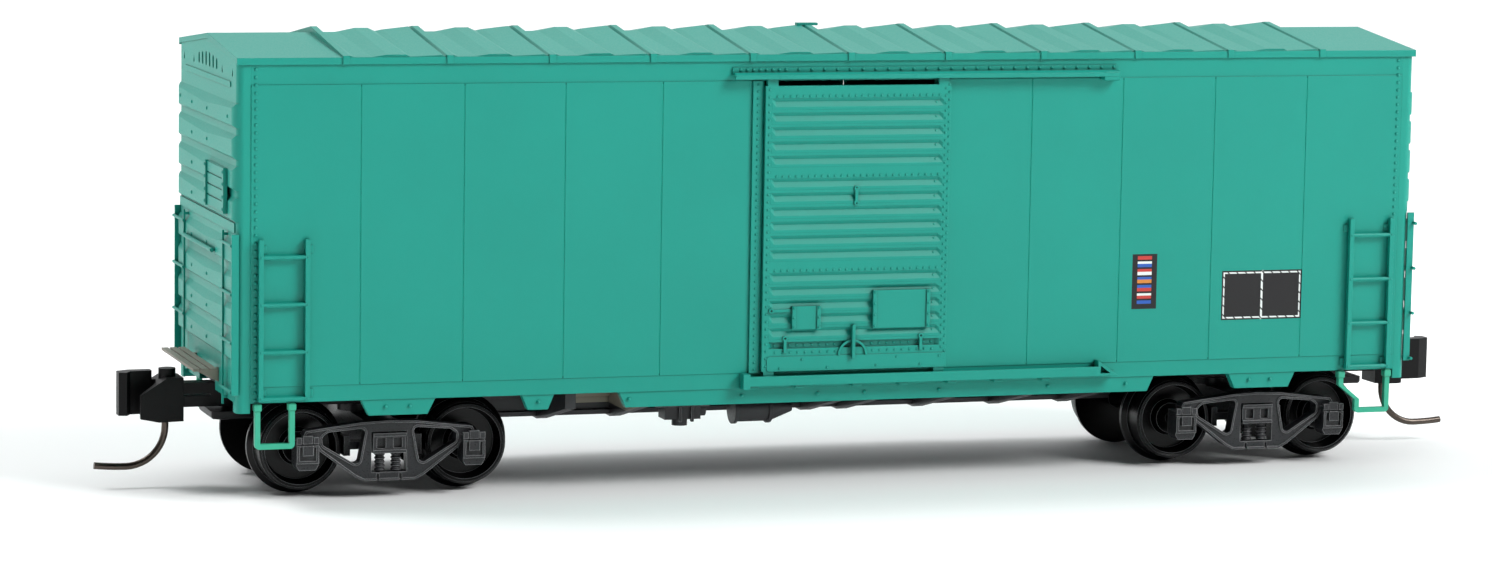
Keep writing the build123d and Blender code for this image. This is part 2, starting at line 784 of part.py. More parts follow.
def draft_box():
    """The coupler pocket of end A with its pivot post."""
    half = draft_w / 2
    box = block(-draft_x1, -draft_x0, -half, half, draft_z0, floor_z0)
    box += block(-draft_x1, -side_half, -half, half, floor_z0, sill_z + coupler_notch_h)
    cavity_z0 = shank_z0 - mouth_gap
    cavity_z1 = shank_z1 + mouth_gap
    box -= block(-draft_x1, -draft_x0 - draft_wall, -half + draft_wall, half - draft_wall, cavity_z0, cavity_z1)
    return box + rod_z(cavity_z0, cavity_z1, -pivot_x, 0, pivot_post_r)


def underframe():
    """Floor plate, fish-bellied centre sill, body bolsters and crossbearers, one moulding."""
    half_w = centre_sill_w / 2
    shallow_z = centre_sill_z + shallow_sill_up
    flange_half = deep_sill_half - shallow_sill_up
    frame = block(-side_half, side_half, -inner_y, inner_y, floor_z0, floor_z1)
    frame += block(-draft_x0, draft_x0, -half_w, half_w, shallow_z, floor_z0)
    belly = [(-deep_sill_half, shallow_z), (-flange_half, centre_sill_z), (flange_half, centre_sill_z),
             (deep_sill_half, shallow_z)]
    frame += prism_y(belly, -half_w + sill_flange_w, half_w - sill_flange_w)
    frame += block(-flange_half, flange_half, -half_w, half_w, centre_sill_z, centre_sill_z + sill_flange_t)
    for x in (-truck_x, truck_x):
        arm = [(-bolster_half, floor_z0), (-bolster_half, floor_z0 - bolster_tip),
               (-centre_sill_w, floor_z0 - bolster_drop), (centre_sill_w, floor_z0 - bolster_drop),
               (bolster_half, floor_z0 - bolster_tip), (bolster_half, floor_z0)]
        frame += prism_x(arm, x - bolster_w / 2, x + bolster_w / 2)
        frame += rod_z(truck_bolster_z1 + centre_plate_gap, floor_z0, x, 0, centre_plate_r)
        frame -= rod_z(truck_bolster_z0, floor_z0, x, 0, pin_r)
    root_z = centre_sill_z - crossbearer_drop
    for share in crossbearers:
        x = share * crossbearer_out
        arm = [(-inner_y, floor_z0), (-inner_y, crossbearer_tip_z), (-half_w, root_z), (half_w, root_z),
               (inner_y, crossbearer_tip_z), (inner_y, floor_z0)]
        frame += prism_x(arm, x - crossbearer_w / 2, x + crossbearer_w / 2)
    return frame


def weight_plate():
    half = side_half - weight_gap
    half_w = inner_y - weight_side_gap
    return block(-half, half, -half_w, half_w, floor_z1, floor_z1 + weight_t)


def truck_pin():
    """The headed pin that holds truck A under its bolster."""
    head_z = truck_bolster_z0 - centre_plate_gap
    pin = rod_z(head_z, floor_z0, -truck_x, 0, pin_r)
    return pin + rod_z(head_z - pin_head_t, head_z, -truck_x, 0, pin_head_r)


def rim_of(face, width):
    """The band of this width along the inside of a flat face's edge."""
    return face - offset(face, -width, kind=Kind.INTERSECTION)


def journal_box(x):
    """A journal box of the near sideframe: tapered foot, hinged lid with its recess, tab and lugs."""
    half = journal_box_half
    foot_z = journal_box_z0 + journal_foot_h
    face_y = -journal_box_y
    lid_y = face_y - lid_t
    body = prism_y([(x - half, journal_box_z1), (x - half, foot_z), (x - journal_foot_half, journal_box_z0),
                    (x + journal_foot_half, journal_box_z0), (x + half, foot_z), (x + half, journal_box_z1)],
                   face_y, -frame_y_in)
    body += block(x - half, x + half, lid_y, face_y, lid_z0, lid_z1)
    body -= block(x - half + lid_rim, x + half - lid_rim, lid_y, face_y, lid_z0 + lid_rim, lid_z1 - lug_gap)
    body += block(x - lid_tab_half, x + lid_tab_half, lid_y - lid_tab_proud, face_y, lid_tab_z, lid_z1)
    for x0, x1, top in hinge_lugs:
        body += block(x + x0, x + x1, lid_y, face_y + lug_gap, lid_z1 + lug_gap, top)
    return body


def sideframe():
    """The near cast sideframe about X zero: flanged chords, windows, journal boxes and springs."""
    axle = wheelbase / 2
    mid_y = -(frame_y_in + frame_y_out) / 2
    face_y = -frame_y_out - frame_flange
    right = [(datum * axle + x, z) for datum, x, z in frame_outline]
    left = [(-x, z) for x, z in reversed(right)]
    plate = make_face(Polyline((0, frame_top_z), *right, *left, close=True))
    window = make_face(Polyline(*[(datum * axle + x, z) for datum, x, z in frame_window], close=True))
    window = fillet(window.vertices(), window_r)
    windows = window + mirror(window, about=Plane.YZ)
    rims = rim_of(plate, frame_flange_w) + rim_of(offset(windows, frame_flange_w), frame_flange_w)
    frame = carried_y(plate, -frame_y_out, -frame_y_in)
    frame += carried_y(rims, face_y, -frame_y_out)
    frame -= carried_y(windows, face_y, -frame_y_in)
    half = truck_bolster_w / 2 + bolster_gap
    frame -= block(-half, half, face_y, -frame_y_in, spring_seat_z, bolster_end_z + bolster_gap)
    for x in (-axle, axle):
        frame += journal_box(x)
        frame -= rod_y(-journal_end - journal_gap, -frame_y_in, x, axle_z, journal_r + journal_gap)
    for x in (-seat_slot_x, seat_slot_x):
        frame -= block(x - seat_slot_w / 2, x + seat_slot_w / 2, face_y, -frame_y_in, 0, seat_slot_z)
    turn = (truck_bolster_z0 - spring_seat_z) / spring_turns
    coil = [(0, spring_seat_z)]
    for i in range(spring_turns):
        z = spring_seat_z + i * turn
        coil += [(spring_r - spring_wire, z), (spring_r, z + turn / 2)]
    coil += [(spring_r - spring_wire, truck_bolster_z0), (0, truck_bolster_z0)]
    spring = revolve(Plane.XZ * make_face(Polyline(*coil, close=True)), Axis.Z)
    for x in (-spring_x, spring_x):
        frame += Pos(x, mid_y, 0) * spring
    return frame


def truck_bolster():
    """The bolster about X zero: beam, pocketed ends on the springs, pin bore and brake shoes."""
    half = truck_bolster_w / 2
    end_y = frame_y_out + frame_flange
    low = truck_bolster_z0
    plate_z = truck_bolster_z1 - centre_plate_t
    beam = block(-half, half, -end_y, end_y, low, bolster_end_z)
    beam += block(-half, half, -frame_y_in, frame_y_in, low, plate_z)
    for z in (low, bolster_end_z - bolster_lip_h):
        beam += block(-half, half, -end_y - bolster_lip, end_y + bolster_lip, z, z + bolster_lip_h)
    for x in (-half / 2, half / 2):
        pocket = block(x - bolster_pocket_w / 2, x + bolster_pocket_w / 2, -end_y, -end_y + bolster_pocket_d,
                       low + bolster_pocket_d, bolster_end_z - bolster_pocket_d)
        beam -= pocket
        beam -= mirror(pocket, about=Plane.XZ)
    beam += rod_z(plate_z, truck_bolster_z1, 0, 0, centre_plate_r)
    beam -= rod_z(low, truck_bolster_z1, 0, 0, pin_r + pin_gap)
    shoe_x = wheelbase / 2 - tread_r - shoe_gap
    y0 = back_half + flange_t + shoe_edge
    y1 = face_half - shoe_edge
    arm = block(-shoe_x, shoe_x, y0, y1, low, low + shoe_arm_t)
    for x0 in (-shoe_x, shoe_x - shoe_w):
        arm += block(x0, x0 + shoe_w, y0, y1, shoe_z0, shoe_z1)
    return beam + arm + mirror(arm, about=Plane.XZ)


def wheelset():
    """An axle and its two wheels about the Y axis at axle height."""
    rim_r = tread_r - tread_drop - rim_chamfer
    dish_r = rim_r - rim_w
    dish_y = face_half - dish_d
    hub_y = dish_y + hub_d
    half = [(0, 0), (axle_r, 0), (axle_r, back_half), (flange_r, back_half), (flange_r, back_half + flange_t / 2),
            (tread_r, back_half + flange_t), (tread_r - tread_drop, face_half - rim_chamfer), (rim_r, face_half),
            (dish_r, face_half), (dish_r - rim_w, dish_y), (hub_r, dish_y), (hub_r - rim_w, hub_y),
            (journal_r, hub_y), (journal_r, journal_end), (0, journal_end)]
    return Pos(0, 0, axle_z) * both_y(revolve(make_face(Polyline(*half, close=True)), Axis.Y))


def coupler():
    """Coupler A: split shank with its pivot eye, head, guard arm, knuckle and rivet."""
    half = shank_w / 2
    mid = (shank_z0 + shank_z1) / 2
    shank = block(-head_x, -pivot_x, -half, half, shank_z0, shank_z1)
    shank += rod_z(shank_z0, shank_z1, -pivot_x, 0, pivot_post_r + pivot_gap + pivot_eye_t)
    shank -= rod_z(shank_z0, shank_z1, -pivot_x, 0, pivot_post_r + pivot_gap)
    shank -= block(-head_x, -draft_x1 + half, -half, half, mid - shank_slot / 2, mid + shank_slot / 2)
    head = prism_z([(-head_x - x, y) for x, y in head_plan], head_z0, head_z1)
    head = head & prism_y([(-head_x - x, z) for x, z in guard_side], -2 * shank_w, 2 * shank_w)
    knuckle = prism_z([(-head_x - x, y) for x, y in knuckle_plan], knuckle_z0, knuckle_z1)
    rivet = rod_z(head_z0, rivet_z1, -head_x - rivet_in, 0, rivet_r)
    return shank + head + knuckle + rivet


def trip_pin():
    """The bent wire under coupler A's head."""
    x = -head_x - trip_in
    top = (x, 0, head_z0)
    bend = (x, 0, trip_low_z + trip_bend_r)
    low = (x - trip_bend_r, 0, trip_low_z)
    tip = (x - trip_bend_r - trip_tip_l, 0, trip_low_z + trip_tip_lift)
    path = Line(top, bend) + TangentArc(bend, low, tangent=(0, 0, -1)) + TangentArc(low, tip, tangent=(-1, 0, 0))
    return sweep(Plane(origin=top, z_dir=(0, 0, -1)) * Circle(trip_r), path=path)


def brake_wheel():
    """The hand brake wheel on end B: rim, spokes and hub."""
    half = brake_wheel_wire / 2
    wheel = revolve(Pos(brake_wheel_r, 0) * RegularPolygon(half, 6), Axis.Y)
    for i in range(spoke_count):
        wheel += Rot(0, i * 180 / spoke_count, 0) * Box(2 * brake_wheel_r, half, spoke_w)
    wheel += Rot(90, 0, 0) * Cylinder(brake_wheel_wire, 2 * half)
    return Pos(rib_face_x + brake_wheel_out, brake_wheel_y, brake_wheel_z) * Rot(0, 0, 90) * wheel


def brake_housing():
    """The gear housing behind the brake wheel, on end B, with the wheel's shaft."""
    half = housing_w / 2
    x1 = rib_face_x + housing_t
    box = block(rib_face_x, x1, brake_wheel_y - half, brake_wheel_y + half, housing_z0, housing_z1)
    hub_x = rib_face_x + brake_wheel_out - brake_wheel_wire / 2
    return box + rod_x(x1, hub_x, brake_wheel_y, brake_wheel_z, brake_wheel_wire)


def brake_valve():
    """The control valve under the floor: body, two caps and its bracket."""
    half_l = valve_l / 2
    half_w = valve_w / 2
    mid_z = (valve_z0 + valve_z1) / 2
    valve = block(valve_x - half_l, valve_x + half_l, valve_y - half_w, valve_y + half_w, valve_z0, valve_z1)
    valve += rod_z(valve_z0 - valve_cap_l, valve_z0, valve_x, valve_y, valve_cap_r)
    valve += rod_x(valve_x + half_l, valve_x + half_l + valve_cap_l, valve_y, mid_z, valve_cap_r)
    half = hanger_t / 2
    return valve + block(valve_x - half, valve_x + half, valve_y - half, valve_y + half, valve_z1, floor_z0)


def brake_cylinder():
    """The brake cylinder with its flanges, cone and bracket."""
    cyl = rod_x(cylinder_x0, cylinder_x1, cylinder_y, cylinder_z, cylinder_r)
    for x in (cylinder_x0, cylinder_x1 - 2 * cylinder_lip):
        cyl += rod_x(x, x + 2 * cylinder_lip, cylinder_y, cylinder_z, cylinder_r + cylinder_lip)
    cone = Rot(0, 90, 0) * Cone(cylinder_r, cylinder_r / 3, cone_l)
    cyl += Pos(cylinder_x1 + cone_l / 2, cylinder_y, cylinder_z) * cone
    x = (cylinder_x0 + cylinder_x1) / 2
    half = hanger_t / 2
    return cyl + block(x - half, x + half, cylinder_y - half, cylinder_y + half, cylinder_z, floor_z0)


def brake_reservoir():
    """The air reservoir beside the far side, on two hangers."""
    tank = rod_x(tank_x0, tank_x1, tank_y, tank_z, tank_r)
    half = hanger_t / 2
    for x in (tank_x0 + tank_r, tank_x1 - tank_r):
        tank += block(x - half, x + half, tank_y - half, tank_y + half, tank_z, floor_z0)
    return tank


def save(shape, node):
    export_step(Pos(0, 0, flange_depth) * shape, "parts/" + node + ".step")


def main():
    os.makedirs("parts", exist_ok=True)
    pieces = {"roof": roof(), "underframe": underframe(), "weight_plate": weight_plate()}
    # pieces that come in a near and a far copy, or at end A and end B
    for name, shape in (("side", side_wall()), ("door", door()), ("door_tracks", door_tracks())):
        pieces[name + "_near"] = shape
        pieces[name + "_far"] = turned(shape)
    for name, shape in (("end", end_wall()), ("platform", platform()), ("end_grab", end_grab()),
                        ("tack_board", tack_board()), ("draft_box", draft_box()), ("truck_pin", truck_pin()),
                        ("coupler", coupler()), ("trip_pin", trip_pin())):
        pieces[name + "_a"] = shape
        pieces[name + "_b"] = turned(shape)
    # pieces of end A's near corner, and their other hand for end B's near corner
    for name, shape, other in (("side_ladder", side_ladder(), side_ladder()),
                               ("end_ladder", end_ladder(rung_over, 0), end_ladder(0, rung_over)),
                               ("stirrup", stirrup(0), stirrup(stirrup_slant))):
        other = mirror(other, about=Plane.YZ)
        pieces[name + "_a_near"] = shape
        pieces[name + "_b_near"] = other
        pieces[name + "_a_far"] = turned(other)
        pieces[name + "_b_far"] = turned(shape)
    frame, bolster, wheels = sideframe(), truck_bolster(), wheelset()
    for end, x, out in (("a", -truck_x, -wheelbase / 2), ("b", truck_x, wheelbase / 2)):
        pieces["sideframe_" + end + "_near"] = Pos(x, 0, 0) * frame
        pieces["sideframe_" + end + "_far"] = Pos(x, 0, 0) * turned(frame)
        pieces["truck_bolster_" + end] = Pos(x, 0, 0) * bolster
        pieces["wheelset_" + end + "_outer"] = Pos(x + out, 0, 0) * wheels
        pieces["wheelset_" + end + "_inner"] = Pos(x - out, 0, 0) * wheels
    pieces["brake_wheel"] = brake_wheel()
    pieces["brake_housing"] = brake_housing()
    pieces["brake_valve"] = brake_valve()
    pieces["brake_cylinder"] = brake_cylinder()
    pieces["brake_reservoir"] = brake_reservoir()
    for node, shape in pieces.items():
        save(shape, node)


main()
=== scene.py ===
import json
import math
import bpy
import numpy as np
from mathutils import Matrix, Vector


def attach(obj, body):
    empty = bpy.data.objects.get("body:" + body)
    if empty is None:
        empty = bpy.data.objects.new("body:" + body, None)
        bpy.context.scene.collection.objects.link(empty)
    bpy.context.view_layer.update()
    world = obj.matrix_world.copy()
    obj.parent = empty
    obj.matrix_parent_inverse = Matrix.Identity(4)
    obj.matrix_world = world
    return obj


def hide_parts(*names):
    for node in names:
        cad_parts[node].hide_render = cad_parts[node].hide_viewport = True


# An N gauge model of a jade green steel boxcar, seen from its near side and end A.
# Places below are in millimetres over the rail top, as in the part's source; the frame is in metres
# and stands on the wheel flanges, which reach railTop below the rail top.
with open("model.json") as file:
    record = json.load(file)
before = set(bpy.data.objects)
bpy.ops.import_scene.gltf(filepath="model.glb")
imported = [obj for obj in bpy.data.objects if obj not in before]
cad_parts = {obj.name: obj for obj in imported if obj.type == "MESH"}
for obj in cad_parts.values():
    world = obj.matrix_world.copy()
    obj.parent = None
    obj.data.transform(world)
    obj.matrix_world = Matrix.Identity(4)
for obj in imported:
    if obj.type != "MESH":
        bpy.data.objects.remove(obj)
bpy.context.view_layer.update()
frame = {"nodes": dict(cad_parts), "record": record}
mm = 0.001
railTop = 0.35
# the far side and end B are the near side and end A turned half round
sides = (("near", False), ("far", True))
ends = (("a", False), ("b", True))


def toLinear(hexColour):
    channels = [int(hexColour[i:i + 2], 16) / 255 for i in (1, 3, 5)]
    return [c / 12.92 if c <= 0.04045 else ((c + 0.055) / 1.055) ** 2.4 for c in channels] + [1.0]


# settings go to sockets (by number or capital letter) or to the node itself; links take a node, a socket or a colour
def addNode(tree, kind, settings=None, links=None):
    node = tree.nodes.new("ShaderNode" + kind)
    for key, value in (settings or {}).items():
        if isinstance(key, int) or key[0].isupper():
            node.inputs[key].default_value = value
        else:
            setattr(node, key, value)
    for key, source in (links or {}).items():
        if isinstance(source, list):
            node.inputs[key].default_value = source
        else:
            tree.links.new(source.outputs[0] if isinstance(source, bpy.types.Node) else source, node.inputs[key])
    return node


def newTree(name):
    material = bpy.data.materials.new(name)
    material.use_nodes = True
    material.node_tree.nodes.clear()
    return material, material.node_tree


# object coordinates in millimetres, so that every pattern has a real size
def placeInMm(tree):
    coords = addNode(tree, "TexCoord")
    return addNode(tree, "VectorMath", {"operation": "SCALE", "Scale": 1 / mm}, {0: coords.outputs["Object"]})


def plasticBase(tree, look):
    place = placeInMm(tree)
    cloud = addNode(tree, "TexNoise", {"Scale": 1 / look["cloudMm"], "Detail": 3.0, "Roughness": 0.5},
                    {"Vector": place})
    grain = addNode(tree, "TexNoise", {"Scale": 1 / look["grainMm"], "Detail": 2.0, "Roughness": 0.6},
                    {"Vector": place})
    tone = addNode(tree, "MapRange", {"From Min": 0.3, "From Max": 0.7,
                                      "To Min": 1 - look["cloud"], "To Max": 1 + look["cloud"]},
                   {"Value": cloud.outputs["Fac"]})
    corner = addNode(tree, "Bevel", {"samples": 4, "Radius": look["edgeMm"] * mm})
    bump = addNode(tree, "Bump", {"Strength": look["grain"], "Distance": 0.01 * mm},
                   {"Height": grain.outputs["Fac"], "Normal": corner})
    # painted shade: the colour is darkened in creases, recesses and between close parts, where ambient occlusion finds
    # near surfaces; crease sets the darkest level
    crease = addNode(tree, "AmbientOcclusion", {"samples": 6, "Distance": look["creaseMm"] * mm})
    shade = addNode(tree, "MapRange", {"From Min": 0.25, "From Max": 0.95, "To Min": look["crease"], "To Max": 1.0},
                    {"Value": crease.outputs["AO"]})
    return place, grain, bump, tone, shade


def tinted(tree, colour, level):
    grey = addNode(tree, "CombineColor", links={0: level, 1: level, 2: level})
    node = addNode(tree, "Mix", {"data_type": "RGBA", "blend_type": "MULTIPLY", 0: 1.0}, {6: colour, 7: grey})
    return node.outputs[2]


def over(tree, mask, below, colour):
    return addNode(tree, "Mix", {"data_type": "RGBA"}, {0: mask, 6: below, 7: colour}).outputs[2]


def inside(tree, value, low, high):
    away = addNode(tree, "Math", {"operation": "SUBTRACT", 1: (low + high) / 2}, {0: value})
    size = addNode(tree, "Math", {"operation": "ABSOLUTE"}, {0: away})
    return addNode(tree, "Math", {"operation": "LESS_THAN", 1: (high - low) / 2}, {0: size})


def boxMask(tree, x, z, box, grow=0.0):
    across = inside(tree, x, box["x0"] - grow, box["x1"] + grow)
    along = inside(tree, z, box["z0"] + railTop - grow, box["z1"] + railTop + grow)
    return addNode(tree, "Math", {"operation": "MULTIPLY"}, {0: across, 1: along})


# the finish over the colour: the grain spreads the roughness and roughens the normal
def closeTree(tree, look, colour, grain, bump):
    gloss = addNode(tree, "MapRange", {"From Min": 0.3, "From Max": 0.7, "To Min": look["rough"] - look["roughSpread"],
                                       "To Max": look["rough"] + look["roughSpread"]}, {"Value": grain.outputs["Fac"]})
    shader = addNode(tree, "BsdfPrincipled", {"Metallic": look.get("metallic", 0.0),
                                              "Specular IOR Level": look.get("specular", 0.5)},
                     {"Base Color": colour, "Roughness": gloss, "Normal": bump})
    addNode(tree, "OutputMaterial", links={"Surface": shader})


def plastic(name, look):
    material, tree = newTree(name)
    place, grain, bump, tone, shade = plasticBase(tree, look)
    level = addNode(tree, "Math", {"operation": "MULTIPLY"}, {0: tone, 1: shade})
    colour = toLinear(look["colour"])
    if "patch" in look:
        axes = addNode(tree, "SeparateXYZ", links={0: place})
        mask = boxMask(tree, axes.outputs["X"], axes.outputs["Z"], look["patch"])
        colour = over(tree, mask, colour, toLinear(look["patch"]["colour"]))
    if "rim" in look:
        # painted highlight: on sharp outer edges the rounded normal turns away from the face's own, and there the
        # colour is made lighter, less so where painted crease shade falls
        rounded = addNode(tree, "Bevel", {"samples": 6, "Radius": look["rimMm"] * mm})
        plain = addNode(tree, "NewGeometry")
        match = addNode(tree, "VectorMath", {"operation": "DOT_PRODUCT"}, {0: rounded, 1: plain.outputs["Normal"]})
        rim = addNode(tree, "MapRange", {"From Min": 0.86, "From Max": 0.99, "To Min": 1.0, "To Max": 0.0},
                      {"Value": match.outputs["Value"]})
        outer = addNode(tree, "Math", {"operation": "MULTIPLY"}, {0: rim, 1: shade})
        colour = over(tree, outer, colour, toLinear(look["rim"]))
    closeTree(tree, look, tinted(tree, colour, level), grain, bump)
    return material


# Satin jade green paint sprayed over moulded plastic: even colour with a barely seen mottle, a very fine
# dry grain, soft edges and painted shade that darkens the creases.
jadeLook = {"colour": "#0A9787", "cloudMm": 9.0, "cloud": 0.03, "grainMm": 0.12, "grain": 0.35, "edgeMm": 0.05,
            "creaseMm": 0.22, "crease": 0.45, "rough": 0.46, "roughSpread": 0.05, "specular": 0.4}
jadePaint = plastic("jade_satin_paint_sprayed", jadeLook)
# The same paint on the doors, with deeper painted shade in the valleys of the corrugations.
doorPaint = plastic("jade_satin_paint_deep_painted_shade", {**jadeLook, "creaseMm": 0.5, "crease": 0.34})
# The same paint on the ends, mixed a little lighter as painted light, with painted shade from each rib on the ramp
# below it.
endPaint = plastic("jade_satin_paint_painted_light_and_shade", {**jadeLook, "colour": "#0C9A89", "creaseMm": 0.9, "crease": 0.48})
# Bare moulded green plastic of the steps, lighter and a little glossier than the paint.
stepPlastic = plastic("green_plastic_moulded", {**jadeLook, "colour": "#37B08F", "rough": 0.4})
# Tan grey plastic of the crossover platforms.
tanPlastic = plastic("tan_grey_plastic_moulded", {**jadeLook, "colour": "#8C867A", "rough": 0.5, "crease": 0.35})
# Black plastic of the underfloor gear, satin with a grey bloom.
blackLook = {"colour": "#26272A", "cloudMm": 4.0, "cloud": 0.12, "grainMm": 0.09, "grain": 0.5, "edgeMm": 0.05,
             "creaseMm": 0.3, "crease": 0.4, "rough": 0.42, "roughSpread": 0.08}
blackPlastic = plastic("black_plastic_moulded", blackLook)
# Painted shade: a darker, duller copy of the black plastic for the draft boxes, which sit in the car's own shade and
# look nearly black.
pocketPlastic = plastic("black_plastic_painted_shade", {**blackLook, "colour": "#111113", "specular": 0.3})
# The same plastic on the underframe, with the tan scuffed patch that shows between two skirt tabs.
scuffedPlastic = plastic("black_plastic_scuffed", {
    **blackLook, "patch": {"x0": -17.3, "x1": -13.4, "z0": 4.3, "z1": 5.15, "colour": "#9A9482"}})
# Truck castings in black acetal: satin, with a painted grey highlight on the sharp edges of every flange and spring,
# and deep painted crease shade.
truckPlastic = plastic("black_acetal_satin", {
    **blackLook, "colour": "#232427", "specular": 0.4, "rough": 0.32, "creaseMm": 0.32, "crease": 0.22,
    "rim": "#9C9D9F", "rimMm": 0.07})
# Wheels in glossy black acetal that mirror the studio as thin bright arcs, with a painted grey highlight on their sharp
# edges.
wheelPlastic = plastic("black_acetal_polished", {
    **blackLook, "colour": "#050506", "cloud": 0.04, "grain": 0.1, "rough": 0.24, "roughSpread": 0.03,
    "specular": 0.2, "rim": "#77797C", "rimMm": 0.07})
# Couplers in black acetal with a fine dry grain.
couplerPlastic = plastic("black_acetal_grained", {
    **blackLook, "colour": "#080809", "grain": 0.8, "rough": 0.45, "specular": 0.22})
# Trip pins of chemically darkened steel wire.
tripWire = plastic("darkened_steel_wire", {**blackLook, "colour": "#5A524C", "metallic": 1.0, "rough": 0.35})
# The rolled, blackened steel weight on the floor.
weightSteel = plastic("blackened_steel_rolled", {**blackLook, "colour": "#77777A", "metallic": 1.0, "rough": 0.4})

# Printed marks of the sides, all blank: a black label with colour bars and a black panel whose white frame and
# middle line are stencilled as dashes. dash is the length of a dash with its gap, ink the share that is printed.
inks = {"black": "#1A1A1C", "white": "#E9F0EE", "blue": "#2D5FB8", "red": "#C8413A", "orange": "#D98A3D"}
label = {"x0": 19.69, "x1": 21.43, "z0": 10.51, "z1": 14.11, "edge": 0.37}
panel = {"x0": 26.07, "x1": 31.80, "z0": 9.63, "z1": 12.88, "rim": 0.1, "line": 0.1, "dash": 0.62, "ink": 0.82,
         "middleHalf": 0.07}
# height and ink of each bar, from the foot of the label up
colourBars = (
    (0.2, "black"), (0.22, "blue"), (0.12, "black"), (0.2, "red"), (0.16, "white"), (0.12, "black"),
    (0.22, "red"), (0.2, "blue"), (0.12, "black"), (0.24, "orange"), (0.16, "blue"), (0.12, "black"),
    (0.22, "white"), (0.18, "red"), (0.12, "black"), (0.22, "blue"), (0.16, "white"), (0.12, "black"),
    (0.24, "red"),
)
# marks are printed only outside of outsideY; between z0 and z1 lie the sheets, where a point nearer the middle than
# seamY is in a seam, where painted crease shade is dropped and seamLight, above 1, brightens the colour as painted
# light
sheetPlace = {"outsideY": 8.81, "seamY": 8.872, "z0": 7.2, "z1": 25.5, "seamLight": 1.7}


# a ramp of the inks over the height of the bars; gives it with the foot and the top of the bars
def barRamp(tree, z):
    total = sum(height for height, ink in colourBars)
    low = (label["z0"] + label["z1"] - total) / 2
    share = addNode(tree, "MapRange", {"From Min": low + railTop, "From Max": low + total + railTop}, {"Value": z})
    ramp = addNode(tree, "ValToRGB", links={0: share})
    stops = ramp.color_ramp.elements
    ramp.color_ramp.interpolation = "CONSTANT"
    stops.remove(stops[1])
    reached = 0.0
    for i, (height, ink) in enumerate(colourBars):
        stop = stops[0] if i == 0 else stops.new(reached / total)
        stop.color = toLinear(inks[ink])
        reached += height
    return ramp, low, low + total


def markedPaint(name, look):
    # x is measured along the side as it is read from outside, so both sides carry the same marks
    material, tree = newTree(name)
    place, grain, bump, tone, shade = plasticBase(tree, look)
    axes = addNode(tree, "SeparateXYZ", links={0: place})
    facing = addNode(tree, "Math", {"operation": "SIGN"}, {0: axes.outputs["Y"]})
    turn = addNode(tree, "Math", {"operation": "MULTIPLY", 1: -1.0}, {0: facing})
    x = addNode(tree, "Math", {"operation": "MULTIPLY"}, {0: axes.outputs["X"], 1: turn})
    z = axes.outputs["Z"]
    outer = addNode(tree, "Math", {"operation": "ABSOLUTE"}, {0: axes.outputs["Y"]})
    outside = addNode(tree, "Math", {"operation": "GREATER_THAN", 1: sheetPlace["outsideY"]}, {0: outer})
    # the seams between the sheets are so thin that their own depth shades them enough, so their painted crease shade is
    # dropped and painted light brightens their colour instead
    sheets = inside(tree, z, sheetPlace["z0"] + railTop, sheetPlace["z1"] + railTop)
    sunk = addNode(tree, "Math", {"operation": "LESS_THAN", 1: sheetPlace["seamY"]}, {0: outer})
    seam = addNode(tree, "Math", {"operation": "MULTIPLY"}, {0: sheets, 1: sunk})
    light = addNode(tree, "MapRange", {"To Min": 0.0, "To Max": sheetPlace["seamLight"]}, {"Value": seam})
    lifted = addNode(tree, "Math", {"operation": "MAXIMUM"}, {0: shade, 1: light})
    level = addNode(tree, "Math", {"operation": "MULTIPLY"}, {0: tone, 1: lifted})
    paint, black, white = toLinear(look["colour"]), toLinear(inks["black"]), toLinear(inks["white"])
    ramp, low, high = barRamp(tree, z)
    bars = {"x0": label["x0"] + label["edge"], "x1": label["x1"] - label["edge"], "z0": low, "z1": high}
    colour = over(tree, boxMask(tree, x, z, label), paint, black)
    colour = over(tree, boxMask(tree, x, z, bars), colour, ramp)
    colour = over(tree, boxMask(tree, x, z, panel), colour, black)
    # the dashes are cut along x + z, so that they run on round the corners
    along = addNode(tree, "Math", {"operation": "ADD"}, {0: x, 1: z})
    steps = addNode(tree, "Math", {"operation": "DIVIDE", 1: panel["dash"]}, {0: along})
    part = addNode(tree, "Math", {"operation": "FRACT"}, {0: steps})
    ink = addNode(tree, "Math", {"operation": "LESS_THAN", 1: panel["ink"]}, {0: part})
    middle = (panel["x0"] + panel["x1"]) / 2
    middleLine = {**panel, "x0": middle - panel["middleHalf"], "x1": middle + panel["middleHalf"]}
    frameMask = addNode(tree, "Math", {"operation": "MULTIPLY"},
                        {0: boxMask(tree, x, z, panel, -panel["rim"]), 1: ink})
    middleMask = addNode(tree, "Math", {"operation": "MULTIPLY"}, {0: boxMask(tree, x, z, middleLine), 1: ink})
    colour = over(tree, frameMask, colour, white)
    colour = over(tree, boxMask(tree, x, z, panel, -panel["rim"] - panel["line"]), colour, black)
    colour = over(tree, middleMask, colour, white)
    colour = over(tree, outside, paint, colour)
    closeTree(tree, look, tinted(tree, colour, level), grain, bump)
    return material


# The sides keep the same paint with lighter painted crease shade, and carry the printed marks.
markedJade = markedPaint("jade_satin_paint_printed", {**jadeLook, "crease": 0.6})
# The roof keeps the same paint with lighter painted crease shade, since its eave meets the wall without a gap.
roofPaint = plastic("jade_satin_paint_soft_painted_shade", {**jadeLook, "crease": 0.7})

